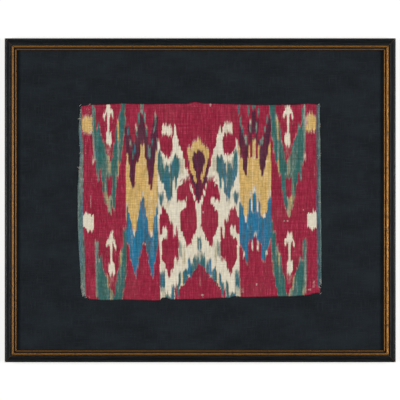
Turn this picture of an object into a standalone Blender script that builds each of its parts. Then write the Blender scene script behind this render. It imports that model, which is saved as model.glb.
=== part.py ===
"""Framed ikat fragment: a worn length of warp-dyed cloth on a dark cloth mount, in a black and gilt frame.

It lies on its back: +X to the right of the picture, +Y to its top and +Z out of its face. The origin is
the middle of the frame, in the plane of its back.
"""

import math
from collections import namedtuple

import bmesh
import bpy
import numpy as np

MM = 0.001

# Frame, outside sizes, and the clearance that touching pieces keep.
FRAME_WIDTH = 610 * MM
FRAME_HEIGHT = 505.5 * MM
GAP = 0.3 * MM

# Moulding: across is measured from the outer edge to the sight edge, height from the back.
MOULDING_WIDTH = 19 * MM
REBATE_START = 13 * MM
REBATE_DEPTH = 14.6 * MM
OUTER_WALL = 17.5 * MM
SIGHT_WALL = 19.6 * MM

Bead = namedtuple("Bead", "across height radius start_deg end_deg steps")
OUTER_BEAD = Bead(1.9 * MM, 17.6 * MM, 1.9 * MM, 180, 45, 5)
CUSHION = Bead(12.75 * MM, 7.29 * MM, 14 * MM, 126, 108, 4)
GILT_BEAD = Bead(12.1 * MM, 20.4 * MM, 2.6 * MM, 180, 0, 10)
SIGHT_BEAD = Bead(17.6 * MM, 19.8 * MM, 1.3 * MM, 180, 0, 6)

# Straight stretches between the beads, each from its start to its end.
QUIRK = [(3.9 * MM, 18.2 * MM), (4.3 * MM, 18.2 * MM)]
RIDGE = [(9.0 * MM, 21.0 * MM), (9.4 * MM, 20.4 * MM)]
GROOVE = [(14.9 * MM, 19.8 * MM), (15.2 * MM, 19.6 * MM), (16.1 * MM, 19.6 * MM)]

# Gilding covers everything on the sight side of this line, above this height.
GILT_FROM = 9.45 * MM
GILT_ABOVE = 19.0 * MM

# Panel behind the sight opening: mount cloth over a plain board.
PANEL_CLEARANCE = 1.5 * MM
MOUNT_THICKNESS = 1.2 * MM
MOUNT_TOP = REBATE_DEPTH - GAP
BOARD_THICKNESS = 6 * MM
BOARD_TOP = MOUNT_TOP - MOUNT_THICKNESS - GAP

# Ikat cloth. Each edge is a short list of places: along is the distance up or across from the frame's
# middle, and edge is how far out the cloth reaches there, both in millimetres.
EdgePlace = namedtuple("EdgePlace", "along edge")
LEFT_EDGE = [
    EdgePlace(along=-150, edge=-183.0),
    EdgePlace(along=-140, edge=-186.0),
    EdgePlace(along=-120, edge=-187.0),
    EdgePlace(along=-80, edge=-189.5),
    EdgePlace(along=-40, edge=-191.3),
    EdgePlace(along=20, edge=-191.5),
    EdgePlace(along=60, edge=-188.7),
    EdgePlace(along=80, edge=-187.8),
    EdgePlace(along=115, edge=-190.0),
    EdgePlace(along=140, edge=-188.0),
    EdgePlace(along=150, edge=-186.0),
]
RIGHT_EDGE = [
    EdgePlace(along=-150, edge=189.5),
    EdgePlace(along=-135, edge=189.0),
    EdgePlace(along=-80, edge=189.5),
    EdgePlace(along=0, edge=188.5),
    EdgePlace(along=90, edge=187.8),
    EdgePlace(along=130, edge=186.7),
    EdgePlace(along=150, edge=187.0),
]
TOP_EDGE = [
    EdgePlace(along=-187, edge=147.5),
    EdgePlace(along=-178, edge=149.3),
    EdgePlace(along=-150, edge=149.8),
    EdgePlace(along=-128, edge=151.5),
    EdgePlace(along=-80, edge=150.3),
    EdgePlace(along=-48, edge=151.3),
    EdgePlace(along=-23, edge=151.0),
    EdgePlace(along=-9, edge=154.0),
    EdgePlace(along=4, edge=152.0),
    EdgePlace(along=50, edge=150.4),
    EdgePlace(along=100, edge=149.0),
    EdgePlace(along=150, edge=149.6),
    EdgePlace(along=170, edge=151.3),
    EdgePlace(along=187, edge=149.5),
]
BOTTOM_EDGE = [
    EdgePlace(along=-184, edge=-149.0),
    EdgePlace(along=-175, edge=-154.5),
    EdgePlace(along=-155, edge=-156.5),
    EdgePlace(along=-125, edge=-155.4),
    EdgePlace(along=-68, edge=-157.0),
    EdgePlace(along=-58, edge=-154.5),
    EdgePlace(along=-10, edge=-155.0),
    EdgePlace(along=30, edge=-153.0),
    EdgePlace(along=80, edge=-151.5),
    EdgePlace(along=150, edge=-150.0),
    EdgePlace(along=170, edge=-148.5),
    EdgePlace(along=177, edge=-146.2),
    EdgePlace(along=189, edge=-144.5),
]
IKAT_WIDTH = 378 * MM
IKAT_HEIGHT = 304 * MM
IKAT_COLUMNS = 42
IKAT_ROWS = 34
IKAT_THICKNESS = 1.3 * MM
HEM_THICKNESS = 2.1 * MM
HEM_WIDTH = 9 * MM
SELVEDGE_THICKNESS = 1.5 * MM
SELVEDGE_WIDTH = 7 * MM
COCKLE_HEIGHT = 0.25 * MM
COCKLE_LENGTH = 95 * MM
COCKLE_SPACING = 70 * MM


def clear_scene():
    for old in list(bpy.data.objects):
        bpy.data.objects.remove(old, do_unlink=True)


def new_collection(name):
    collection = bpy.data.collections.new(name)
    bpy.context.scene.collection.children.link(collection)
    return collection


def new_material(name, colour, roughness, metallic=0.0):
    """A plain material with the part's colour, in linear light."""
    material = bpy.data.materials.new(name)
    material.use_nodes = True
    surface = material.node_tree.nodes["Principled BSDF"]
    surface.inputs["Base Color"].default_value = (*colour, 1.0)
    surface.inputs["Roughness"].default_value = roughness
    surface.inputs["Metallic"].default_value = metallic
    return material


def add_object(name, mesh, collection, *materials):
    piece = bpy.data.objects.new(name, mesh)
    for material in materials:
        mesh.materials.append(material)
    collection.objects.link(piece)
    return piece


def arc(bead):
    """The points of one rounded member of the moulding."""
    turn = (bead.end_deg - bead.start_deg) / bead.steps
    angles = [math.radians(bead.start_deg + turn * step) for step in range(bead.steps + 1)]
    return [
        (bead.across + bead.radius * math.cos(a), bead.height + bead.radius * math.sin(a)) for a in angles
    ]


def moulding_section():
    """The moulding's closed outline, from the back of the outer wall over the face and down the rebate."""
    return [
        (0.0, 0.0),
        (0.0, OUTER_WALL),
        *arc(OUTER_BEAD)[1:],
        *QUIRK,
        *arc(CUSHION),
        *RIDGE,
        *arc(GILT_BEAD),
        *GROOVE,
        *arc(SIGHT_BEAD),
        (MOULDING_WIDTH, SIGHT_WALL),
        (MOULDING_WIDTH, REBATE_DEPTH),
        (REBATE_START, REBATE_DEPTH),
        (REBATE_START, 0.0),
    ]


def extruded_section(length):
    """The moulding as a flat filled curve, extruded both ways along local Z and made a welded mesh."""
    curve = bpy.data.curves.new("moulding_curve", "CURVE")
    curve.dimensions = "2D"
    curve.fill_mode = "BOTH"
    curve.extrude = length / 2
    outline = moulding_section()
    spline = curve.splines.new("POLY")
    spline.points.add(len(outline) - 1)
    for point, (across, height) in zip(spline.points, outline):
        point.co = (across, height, 0.0, 1.0)
    spline.use_cyclic_u = True
    holder = bpy.data.objects.new("moulding_curve", curve)
    bpy.context.scene.collection.objects.link(holder)
    bpy.context.view_layer.update()
    evaluated = holder.evaluated_get(bpy.context.evaluated_depsgraph_get())
    mesh = bpy.data.meshes.new_from_object(evaluated)
    bpy.data.objects.remove(holder)
    return mesh


def mitred_rail(name, length, turn_deg, place, collection, lacquer, gilt):
    """One rail: the ends are cut at 45 degrees, so each point of an end stands back by its distance across."""
    mesh = extruded_section(length)
    shape = bmesh.new()
    shape.from_mesh(mesh)
    bmesh.ops.remove_doubles(shape, verts=shape.verts, dist=0.01 * MM)
    for point in shape.verts:
        half = length / 2 - point.co.x - GAP / 2 * math.sqrt(2)
        point.co.z = math.copysign(half, point.co.z)
    bmesh.ops.recalc_face_normals(shape, faces=shape.faces)
    for face in shape.faces:
        middle = face.calc_center_median()
        end_face = abs(face.normal.z) > 0.5
        face.material_index = int(middle.x > GILT_FROM and middle.y > GILT_ABOVE and not end_face)
    shape.to_mesh(mesh)
    shape.free()
    mesh.name = name
    rail = add_object(name, mesh, collection, lacquer, gilt)
    rail.rotation_euler = (math.radians(90), 0.0, math.radians(turn_deg))
    rail.location = place
    return rail


def build_frame(collection):
    lacquer = new_material("black_lacquered_wood", (0.012, 0.011, 0.010), roughness=0.35)
    gilt = new_material("rubbed_gilding", (0.42, 0.21, 0.06), roughness=0.38, metallic=0.85)
    side, end = FRAME_WIDTH / 2, FRAME_HEIGHT / 2
    mitred_rail("rail_left", FRAME_HEIGHT, 0, (-side, 0, 0), collection, lacquer, gilt)
    mitred_rail("rail_bottom", FRAME_WIDTH, 90, (0, -end, 0), collection, lacquer, gilt)
    mitred_rail("rail_right", FRAME_HEIGHT, 180, (side, 0, 0), collection, lacquer, gilt)
    mitred_rail("rail_top", FRAME_WIDTH, 270, (0, end, 0), collection, lacquer, gilt)


def panel(name, top, thickness, collection, material):
    """A flat layer of the panel that sits in the rebate."""
    inset = 2 * (REBATE_START + PANEL_CLEARANCE)
    box = bmesh.new()
    bmesh.ops.create_cube(box, size=1.0)
    bmesh.ops.scale(box, vec=(FRAME_WIDTH - inset, FRAME_HEIGHT - inset, thickness), verts=box.verts)
    mesh = bpy.data.meshes.new(name)
    box.to_mesh(mesh)
    box.free()
    layer = add_object(name, mesh, collection, material)
    layer.location = (0, 0, top - thickness / 2)
    return layer


def build_panel(collection):
    dark_cloth = new_material("dark_mount_cloth", (0.015, 0.019, 0.023), roughness=0.9)
    pulp_board = new_material("grey_pulp_board", (0.32, 0.30, 0.26), roughness=0.85)
    panel("mount_cloth", MOUNT_TOP, MOUNT_THICKNESS, collection, dark_cloth)
    panel("backing_board", BOARD_TOP, BOARD_THICKNESS, collection, pulp_board)


def reach(places, along):
    """How far out an edge lies at one place along it."""
    return float(np.interp(along, [p.along for p in places], [p.edge for p in places]))


def cloth_thickness(x, y, to_side, to_end):
    """The cloth is thicker at its turned top and bottom hems and at its selvedges, and a little cockled."""
    cockle = math.sin(2 * math.pi * x / COCKLE_LENGTH + 1.3) * math.sin(2 * math.pi * y / COCKLE_SPACING)
    flat = IKAT_THICKNESS + COCKLE_HEIGHT * 0.5 * (1 + cockle)
    hem = max(0.0, 1 - to_end / HEM_WIDTH)
    selvedge = max(0.0, 1 - to_side / SELVEDGE_WIDTH)
    return max(flat, flat + (HEM_THICKNESS - flat) * hem, flat + (SELVEDGE_THICKNESS - flat) * selvedge)


def build_ikat(collection):
    """A grid fitted between the four uneven edges, thickened upwards from its flat underside."""
    grid = bmesh.new()
    bmesh.ops.create_grid(grid, x_segments=IKAT_COLUMNS, y_segments=IKAT_ROWS, size=0.5)
    thickest = HEM_THICKNESS + COCKLE_HEIGHT
    weights = []
    for point in grid.verts:
        across, up = point.co.x + 0.5, point.co.y + 0.5
        nominal_x = (across - 0.5) * IKAT_WIDTH / MM
        nominal_y = (up - 0.5) * IKAT_HEIGHT / MM
        left, right = reach(LEFT_EDGE, nominal_y), reach(RIGHT_EDGE, nominal_y)
        bottom, top = reach(BOTTOM_EDGE, nominal_x), reach(TOP_EDGE, nominal_x)
        x = (left + (right - left) * across) * MM
        y = (bottom + (top - bottom) * up) * MM
        to_side = min(across, 1 - across) * IKAT_WIDTH
        to_end = min(up, 1 - up) * IKAT_HEIGHT
        weights.append(cloth_thickness(x, y, to_side, to_end) / thickest)
        point.co = (x, y, 0.0)
    mesh = bpy.data.meshes.new("ikat_cloth")
    grid.to_mesh(mesh)
    grid.free()
    dyed_cloth = new_material("warp_dyed_cloth", (0.33, 0.03, 0.06), roughness=0.8)
    cloth = add_object("ikat_cloth", mesh, collection, dyed_cloth)
    cloth.location = (0, 0, MOUNT_TOP + GAP)
    group = cloth.vertex_groups.new(name="thickness")
    for index, weight in enumerate(weights):
        group.add([index], weight, "REPLACE")
    solidify = cloth.modifiers.new("cloth thickness", "SOLIDIFY")
    solidify.thickness = thickest
    solidify.offset = 1.0
    solidify.vertex_group = group.name
    return cloth


def main():
    clear_scene()
    collection = new_collection("framed_ikat_fragment")
    build_frame(collection)
    build_panel(collection)
    build_ikat(collection)


main()
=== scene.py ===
"""Looks of the framed ikat fragment: lacquered and gilt moulding, dark mount and worn warp-dyed cloth.

The picture lies on its back: +X to its right, +Y to its top, +Z out of its face.
"""

import math
from collections import namedtuple
from functools import partial

import bpy
import numpy as np
from bpy.props import FloatProperty, FloatVectorProperty, PointerProperty
from bpy.types import Operator, Panel, PropertyGroup
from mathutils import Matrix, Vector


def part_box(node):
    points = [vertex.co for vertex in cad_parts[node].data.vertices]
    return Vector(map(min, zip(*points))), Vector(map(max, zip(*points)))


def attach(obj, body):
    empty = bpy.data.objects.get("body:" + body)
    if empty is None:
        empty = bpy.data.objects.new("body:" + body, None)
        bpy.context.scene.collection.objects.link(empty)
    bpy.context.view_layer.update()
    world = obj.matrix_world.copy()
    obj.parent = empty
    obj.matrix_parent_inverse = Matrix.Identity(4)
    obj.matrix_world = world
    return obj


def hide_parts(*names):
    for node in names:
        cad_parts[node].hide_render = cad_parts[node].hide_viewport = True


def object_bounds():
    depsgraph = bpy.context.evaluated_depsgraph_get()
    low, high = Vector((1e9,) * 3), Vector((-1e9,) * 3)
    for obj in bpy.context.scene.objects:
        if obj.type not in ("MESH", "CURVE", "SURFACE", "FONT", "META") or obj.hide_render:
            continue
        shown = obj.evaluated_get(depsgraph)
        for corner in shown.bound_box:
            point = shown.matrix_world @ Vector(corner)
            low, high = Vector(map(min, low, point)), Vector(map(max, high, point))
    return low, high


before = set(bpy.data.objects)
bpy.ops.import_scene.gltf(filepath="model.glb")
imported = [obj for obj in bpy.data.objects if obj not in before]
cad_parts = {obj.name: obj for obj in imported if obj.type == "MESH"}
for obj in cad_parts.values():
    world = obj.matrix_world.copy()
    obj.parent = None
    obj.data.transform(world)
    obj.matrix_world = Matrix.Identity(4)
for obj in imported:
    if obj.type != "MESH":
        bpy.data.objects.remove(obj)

bl_info = {
    "name": "Framed Ikat Fragment",
    "version": (1, 0, 0),
    "blender": (4, 5, 0),
    "location": "3D View > Sidebar > Framed Ikat",
    "description": "Builds the looks of a framed length of ikat cloth",
    "category": "Object",
}

MM = 0.001
BODY = "root"
CAD_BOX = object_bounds()
FRAME_WIDTH = CAD_BOX[1].x - CAD_BOX[0].x
FRAME_HEIGHT = CAD_BOX[1].y - CAD_BOX[0].y
MOUNT_LOW, MOUNT_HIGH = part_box("mount_cloth")
IKAT_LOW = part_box("ikat_cloth")[0]


def linear(hex_colour):
    """An sRGB hex colour in linear light, as Blender's colour sockets take it."""
    parts = [int(hex_colour[i : i + 2], 16) / 255 for i in (1, 3, 5)]
    return tuple(c / 12.92 if c <= 0.04045 else ((c + 0.055) / 1.055) ** 2.4 for c in parts)


def colour_setting(name, description, hex_colour):
    return FloatVectorProperty(
        name=name, description=description, subtype="COLOR", size=3, min=0, max=1, default=linear(hex_colour)
    )


def length_setting(name, description, default):
    return FloatProperty(
        name=name, description=description, unit="LENGTH", min=0, precision=5, default=default
    )


class MouldingSettings(PropertyGroup):
    joint: length_setting("Mitre gap", "Gap left between two rails at a mitre", 0.3 * MM)
    step: length_setting("Length step", "Distance between the rings of points along a rail", 4 * MM)
    lacquer: colour_setting("Lacquer", "Black lacquer on the wood", "#0f1213")
    rubbed_wood: colour_setting("Rubbed wood", "Wood that shows where the lacquer is worn", "#5c3a1b")
    gilding: colour_setting("Gilding", "Bronze-gold finish of the two small beads", "#ac7736")
    toning: colour_setting("Toning", "Dark glaze rubbed over the gilding", "#1d1208")
    bare_wood: colour_setting("Bare wood", "Unfinished wood of the back and the rebate", "#8b6d49")


class MountSettings(PropertyGroup):
    thread: length_setting("Thread spacing", "Distance between the threads of the mount cloth", 1.1 * MM)
    grid: length_setting("Grid", "Distance between the points of the mount cloth's mesh", 4 * MM)
    cloth: colour_setting("Mount cloth", "Blue-black dye of the mount cloth", "#161b20")
    slub: colour_setting("Slub", "Lighter thread that shows as faint slubs", "#30373c")
    board: colour_setting("Pulp board", "Grey pulp board behind the mount cloth", "#9c968a")


class IkatSettings(PropertyGroup):
    warp: length_setting("Warp spacing", "Distance between the warp threads", 0.55 * MM)
    weft: length_setting("Weft spacing", "Distance between the weft ribs", 0.8 * MM)
    red: colour_setting("Red", "Crimson ground", "#9d233e")
    cream: colour_setting("Cream", "Undyed threads", "#ebe2cc")
    yellow: colour_setting("Yellow", "Yellow dye", "#dbb56d")
    green: colour_setting("Green", "Blue-green dye", "#326963")
    blue: colour_setting("Blue", "Blue dye", "#27799f")
    plum: colour_setting("Plum", "Brown-purple dye", "#57263c")
    thread: colour_setting("Loose thread", "Bleached thread of the frayed ends", "#c2bfb4")
    edging: colour_setting("Edging", "Blue-grey weft loops of the selvedges", "#83908f")


class StageSettings(PropertyGroup):
    lens: FloatProperty(name="Lens", description="Focal length in millimetres", default=100, min=1)
    seen_width: length_setting("Seen width", "Width that the camera takes in at the picture's face", 0.6237)
    side_light: FloatProperty(name="Side light", description="Watts of each side light", default=23.5)
    top_light: FloatProperty(name="Top light", description="Power of the weak top light in watts", default=3)
    sky_light: FloatProperty(name="Sky light", description="Strength of the room's even light", default=0.12)
    floor: colour_setting("Floor", "Plain pale floor", "#c4c3c1")
    glow: FloatProperty(name="Glow", description="How much the floor adds to its own tone", default=0.61)


class FramedIkatSettings(PropertyGroup):
    moulding: PointerProperty(type=MouldingSettings)
    mount: PointerProperty(type=MountSettings)
    ikat: PointerProperty(type=IkatSettings)
    stage: PointerProperty(type=StageSettings)


# Settings of the nodes that come up most: a range eased at both ends, and a mix of two colours. The mix takes
# the share of its second colour at socket 0, and the two colours at 6 and 7.
EASED = {"interpolation_type": "SMOOTHSTEP"}
COLOURS = {"data_type": "RGBA", "output": 2}


def add_node(tree, kind, inputs=(), output=0, **settings):
    """Adds one node, sets its settings, sets or links its inputs, and gives back one of its outputs."""
    node = tree.nodes.new(f"ShaderNode{kind}")
    for name, value in settings.items():
        setattr(node, name, value)
    for name, value in inputs.items() if isinstance(inputs, dict) else enumerate(inputs):
        socket = node.inputs[name]
        if isinstance(value, bpy.types.NodeSocket):
            tree.links.new(value, socket)
        else:
            socket.default_value = (*value, 1.0) if socket.type == "RGBA" else value
    return node.outputs[output] if node.outputs else None


def new_material(name):
    """An empty material, and the function that adds nodes to it."""
    material = bpy.data.materials.new(name)
    material.use_nodes = True
    material.node_tree.nodes.clear()
    return material, partial(add_node, material.node_tree)


def surfaced(material, inputs):
    """The same material, with a surface that takes these inputs joined to its output."""
    surface = add_node(material.node_tree, "BsdfPrincipled", inputs)
    add_node(material.node_tree, "OutputMaterial", [surface])
    return material


def grain(add, place, size, detail=3.0, roughness=0.55):
    """A pattern of grains that have the given size along each axis, in the units of the place."""
    fitted = add("Mapping", {"Vector": place, "Scale": [1 / s for s in size]})
    return add("TexNoise", {"Vector": fitted, "Scale": 1.0, "Detail": detail, "Roughness": roughness})


def wash(add, colour, tint, pattern, low, high, most=1.0):
    """Lays a tint over a colour, more and more as the pattern goes from low to high."""
    share = add("MapRange", (pattern, low, high, 0, most), **EASED)
    return add("Mix", {0: share, 6: colour, 7: tint}, **COLOURS)


def deselect():
    bpy.ops.object.select_all(action="DESELECT")


def select_only(piece):
    deselect()
    piece.select_set(True)
    bpy.context.view_layer.objects.active = piece


def coordinates(mesh):
    co = np.empty(len(mesh.vertices) * 3)
    mesh.vertices.foreach_get("co", co)
    return co.reshape(-1, 3)


def set_coordinates(mesh, co):
    mesh.vertices.foreach_set("co", co.ravel())
    mesh.update()


def set_attribute(mesh, name, kind, values):
    """Stores one value, or one vector, for each point of the mesh."""
    field = "value" if kind == "FLOAT" else "vector"
    mesh.attributes.new(name, kind, "POINT").data.foreach_set(field, np.ravel(values))


def smooth(t):
    t = np.clip(t, 0, 1)
    return t * t * (3 - 2 * t)


# Moulding. Its section is drawn from the back of the outer wall, over the face and down the rebate:
# a run goes straight to a place, and a turn swings round a centre by some degrees.
Run = namedtuple("Run", "across height")
Turn = namedtuple("Turn", "across height degrees steps")
MOULDING_WIDTH = 19
REBATE_START = 13
REBATE_DEPTH = 14.6
SECTION = [
    Run(0, 17.6),
    Turn(1.9, 17.6, 135, 10),
    Run(3.9, 18.2),
    Run(4.3, 18.2),
    Run(4.6, 18.5),
    Run(8.7, 20.9),
    Turn(9.0, 20.5, 100, 5),
    Run(9.75, 19.6),
    Run(11.2, 19.6),
    Run(11.6, 21.1),
    Turn(13.5, 21.1, 180, 18),
    Run(15.6, 19.6),
    Run(15.85, 18.9),
    Run(16.6, 18.9),
    Run(16.75, 19.8),
    Turn(17.85, 19.8, 180, 12),
    Run(MOULDING_WIDTH, 19.6),
    Run(MOULDING_WIDTH, REBATE_DEPTH),
    Run(REBATE_START, REBATE_DEPTH),
    Run(REBATE_START, 0),
    Run(0, 0),
]
GILT_BEAD = (11.5, 15.5)
SIGHT_BEAD = (16.7, 19.0)

# Only points above FACE_ABOVE are chipped, and a bead is gilt above GILT_ABOVE. Bare wood lies at the back
# and in the rebate, inside OUTER_WALL. The stick is longer than the longest rail by CUTTING_SPARE.
FACE_ABOVE = 16.0
GILT_ABOVE = 19.2
OUTER_WALL = 1.0
NEARLY = 0.1
CUTTING_SPARE = 20

# How far the brown shows through the outer edge of each rail, and how much its gilding is darkened with the
# toning colour: this share is painted shade, heaviest on the left rail and then the top, whose gilding
# catches less light.
Finish = namedtuple("Finish", "wear glaze")
FINISHES = {
    "moulding_left": Finish(1.0, 0.45),
    "moulding_right": Finish(0.1, 0.0),
    "moulding_top": Finish(0.15, 0.24),
    "moulding_bottom": Finish(0.9, 0.05),
}

# Small losses on the rails: the rail, how far along it from its middle, across, radius and depth, in mm.
Chip = namedtuple("Chip", "rail along across radius depth")
CHIPS = [
    Chip("moulding_left", -199.5, 9.0, 1.6, 0.5),
    Chip("moulding_right", -184.5, 3.4, 1.5, 0.5),
    Chip("moulding_right", -206, 10.6, 2.4, 0.25),
    Chip("moulding_bottom", 263.5, 11.0, 1.2, 0.3),
    Chip("moulding_left", 120, 9.1, 1.0, 0.3),
    Chip("moulding_top", 91, 1.4, 1.0, 0.3),
    Chip("moulding_top", -150, 9.1, 1.1, 0.25),
]


def draw_section():
    """Draws the section as an edge loop from one point, which each run extrudes and each turn spins."""
    bpy.ops.mesh.primitive_plane_add(size=MM, location=(0, 0, 0))
    stick = bpy.context.object
    bpy.ops.object.mode_set(mode="EDIT")
    bpy.ops.mesh.select_all(action="SELECT")
    bpy.ops.mesh.merge(type="CENTER")
    pen = (0.0, 0.0)
    for member in SECTION:
        if isinstance(member, Run):
            move = ((member.across - pen[0]) * MM, 0, (member.height - pen[1]) * MM)
            bpy.ops.mesh.extrude_region_move(TRANSFORM_OT_translate={"value": move})
            pen = (member.across, member.height)
        else:
            angle = math.radians(member.degrees)
            centre = (member.across * MM, 0, member.height * MM)
            bpy.ops.mesh.spin(steps=member.steps, angle=angle, center=centre, axis=(0, -1, 0))
            dx, dz = pen[0] - member.across, pen[1] - member.height
            pen = (
                member.across + dx * math.cos(angle) + dz * math.sin(angle),
                member.height - dx * math.sin(angle) + dz * math.cos(angle),
            )
    bpy.ops.mesh.select_all(action="SELECT")
    bpy.ops.mesh.remove_doubles(threshold=0.02 * MM)
    return stick


def make_stick(length, step):
    """A straight length of moulding along +Y, open at both ends, with rings of points all along."""
    stick = draw_section()
    rings = round(length / step)
    for _ in range(rings):
        bpy.ops.mesh.extrude_region_move(TRANSFORM_OT_translate={"value": (0, length / rings, 0)})
    bpy.ops.object.mode_set(mode="OBJECT")
    stick.location.y = -length / 2
    select_only(stick)
    bpy.ops.object.transform_apply(location=True, rotation=False, scale=False)
    return stick


def cut_mitre(end, length, gap):
    """Cuts one end of the active rail at 45 degrees and closes it."""
    bpy.ops.mesh.select_all(action="SELECT")
    corner = end * (length / 2 - gap / 2 * math.sqrt(2))
    bpy.ops.mesh.bisect(
        plane_co=(0, corner, 0), plane_no=(1, end, 0), use_fill=True, clear_outer=True, threshold=0.001 * MM
    )


def make_rail(name, stick, length, turn, place, settings, materials):
    """Copies the stick, cuts its mitres, dents it, and turns it to its side of the frame."""
    rail = stick.copy()
    rail.data = stick.data.copy()
    rail.name = rail.data.name = name
    bpy.context.collection.objects.link(rail)
    select_only(rail)
    bpy.ops.object.mode_set(mode="EDIT")
    cut_mitre(1, length, settings.joint)
    cut_mitre(-1, length, settings.joint)
    bpy.ops.mesh.select_all(action="SELECT")
    bpy.ops.mesh.remove_doubles(threshold=0.002 * MM)
    bpy.ops.mesh.normals_make_consistent(inside=False)
    bpy.ops.object.mode_set(mode="OBJECT")
    co = coordinates(rail.data) / MM
    across, along, height = co[:, 0].copy(), co[:, 1].copy(), co[:, 2].copy()
    for chip in CHIPS:
        if chip.rail == name:
            near = np.hypot(along - chip.along, across - chip.across) / chip.radius
            co[:, 2] -= chip.depth * smooth(1 - near) * (height > FACE_ABOVE)
    set_coordinates(rail.data, co * MM)
    set_attribute(rail.data, "rail_place", "FLOAT_VECTOR", np.stack([along, across, height], axis=1))
    set_attribute(rail.data, "mitre", "FLOAT", length / MM / 2 - np.abs(along) - across)
    # Each rail keeps its wear and its share of painted shade on the gilding as attributes.
    for part, share in FINISHES[name]._asdict().items():
        set_attribute(rail.data, part, "FLOAT", np.full(len(along), share))
    for material in materials:
        rail.data.materials.append(material)
    for face in rail.data.polygons:
        x, _, z = (v / MM for v in face.center)
        on_gilt = any(low < x < high for low, high in (GILT_BEAD, SIGHT_BEAD)) and z > GILT_ABOVE
        hidden = z < NEARLY or (z < REBATE_DEPTH + NEARLY and x > OUTER_WALL)
        face.material_index = 1 if on_gilt else 2 if hidden else 0
    bpy.ops.object.shade_smooth_by_angle(angle=math.radians(32))
    rail.rotation_euler.z = math.radians(turn)
    rail.location = place
    bpy.ops.object.transform_apply(location=True, rotation=True, scale=False)
    return rail


def rail_nodes(add):
    """The place on the rail in millimetres, its distance across, its height and how far the mitre is."""
    place = add("Attribute", attribute_name="rail_place", output="Vector")
    parts = add("SeparateXYZ", [place]).node.outputs
    mitre = add("Attribute", attribute_name="mitre", output="Fac")
    return place, parts["Y"], parts["Z"], mitre


def black_lacquered_wood(settings):
    """Black lacquer brushed on a wooden moulding: deep, half glossy, brown where its edges are rubbed."""
    material, add = new_material("black_lacquered_wood")
    place, across, height, mitre = rail_nodes(add)
    streaks = grain(add, place, (40, 0.8, 0.8))
    patches = grain(add, place, (7, 3, 3), detail=5)
    tone = wash(add, settings.lacquer, linear("#24282a"), streaks, 0.35, 0.8)
    edges = 0.0
    wear = add("Attribute", attribute_name="wear", output="Fac")
    for outwards, upwards, most in (((1.5, 0.3), (16.6, 17.6), wear), ((8.2, 9.0), (20.0, 20.6), 0.15)):
        side = add("MapRange", (across, *outwards), **EASED)
        rise = add("MapRange", (height, *upwards), **EASED)
        edge = add("Math", (side, rise), operation="MULTIPLY")
        edge = add("Math", (edge, most), operation="MULTIPLY")
        edges = add("Math", (edges, edge), operation="MAXIMUM")
    broken = add("MapRange", (patches, 0.38, 0.58), **EASED)
    worn = add("Math", (edges, broken), operation="MULTIPLY")
    at_mitre = add("MapRange", (mitre, 0.75, 0.35, 0, 0.8), **EASED)
    worn = add("Math", (worn, at_mitre), operation="MAXIMUM")
    brushed = add("Math", (patches, 0.6, streaks), operation="MULTIPLY_ADD")
    return surfaced(material, {
        "Base Color": add("Mix", {0: worn, 6: tone, 7: settings.rubbed_wood}, **COLOURS),
        "Specular IOR Level": 0.3,
        "Roughness": add("MapRange", (patches, 0.3, 0.7, 0.3, 0.42), **EASED),
        "Normal": add("Bump", {"Height": brushed, "Distance": 0.06 * MM}),
    })


def rubbed_gilding(settings):
    """Bronze-gold leaf rubbed back under dark toning: a warm metal with brown hollows and bright crowns, with
    painted shade on some rails.
    """
    material, add = new_material("rubbed_gilding")
    place, _, height, mitre = rail_nodes(add)
    patches = grain(add, place, (6, 2.5, 2.5), detail=6, roughness=0.65)
    specks = grain(add, place, (1.6, 0.9, 0.9))
    # The rail's own share is painted shade on its gilding; the patterns below add dark toning in patches, in
    # specks, on the lower flanks and hollows, and at the mitres.
    glaze = add("Attribute", attribute_name="glaze", output="Fac")
    for pattern, bare, covered, most in (
        (patches, 0.48, 0.64, 0.75),
        (specks, 0.6, 0.7, 0.75),
        (height, 21.6, 20.4, 0.7),
        (mitre, 0.7, 0.35, 1.0),
    ):
        dark = add("MapRange", (pattern, bare, covered, 0, most), **EASED)
        glaze = add("Math", (glaze, dark), operation="MAXIMUM")
    return surfaced(material, {
        "Base Color": add("Mix", {0: glaze, 6: settings.gilding, 7: settings.toning}, **COLOURS),
        "Metallic": add("MapRange", (glaze, 0, 1, 0.9, 0.25), **EASED),
        "Roughness": add("MapRange", (patches, 0.3, 0.7, 0.36, 0.5), **EASED),
        "Normal": add("Bump", {"Height": specks, "Distance": 0.08 * MM}),
    })


def bare_planed_wood(settings):
    """Planed and unfinished softwood of the moulding's back: matt, pale brown, with long grain."""
    material, add = new_material("bare_planed_wood")
    place = rail_nodes(add)[0]
    fibres = grain(add, place, (60, 1.2, 1.2), detail=6)
    return surfaced(material, {
        "Base Color": wash(add, settings.bare_wood, linear("#6a4f33"), fibres, 0.35, 0.7),
        "Roughness": 0.75,
        "Normal": add("Bump", {"Height": fibres, "Distance": 0.1 * MM}),
    })


class FRAMEDIKAT_OT_mouldings(Operator):
    """Make the four mitred rails of the frame"""

    bl_idname = "framed_ikat.mouldings"
    bl_label = "Mouldings"

    def execute(self, context):
        settings = context.scene.framed_ikat.moulding
        materials = [black_lacquered_wood(settings), rubbed_gilding(settings), bare_planed_wood(settings)]
        deselect()
        stick = make_stick(FRAME_WIDTH + CUTTING_SPARE * MM, settings.step)
        side, end = FRAME_WIDTH / 2, FRAME_HEIGHT / 2
        rails = {
            "left": (FRAME_HEIGHT, 0, (-side, 0, 0)),
            "bottom": (FRAME_WIDTH, 90, (0, -end, 0)),
            "right": (FRAME_HEIGHT, 180, (side, 0, 0)),
            "top": (FRAME_WIDTH, 270, (0, end, 0)),
        }
        for place_name, (length, turn, place) in rails.items():
            rail = make_rail(f"moulding_{place_name}", stick, length, turn, place, settings, materials)
            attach(rail, BODY)
            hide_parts(f"rail_{place_name}")
        bpy.data.objects.remove(stick)
        return {"FINISHED"}


# The mount cloth: its slubs' length in mm, how far its face lies inside its solid and how deep it waves.
SLUB_LENGTH = 22
MOUNT_INSET = 0.1 * MM
MOUNT_WAVE = 0.06 * MM


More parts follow.
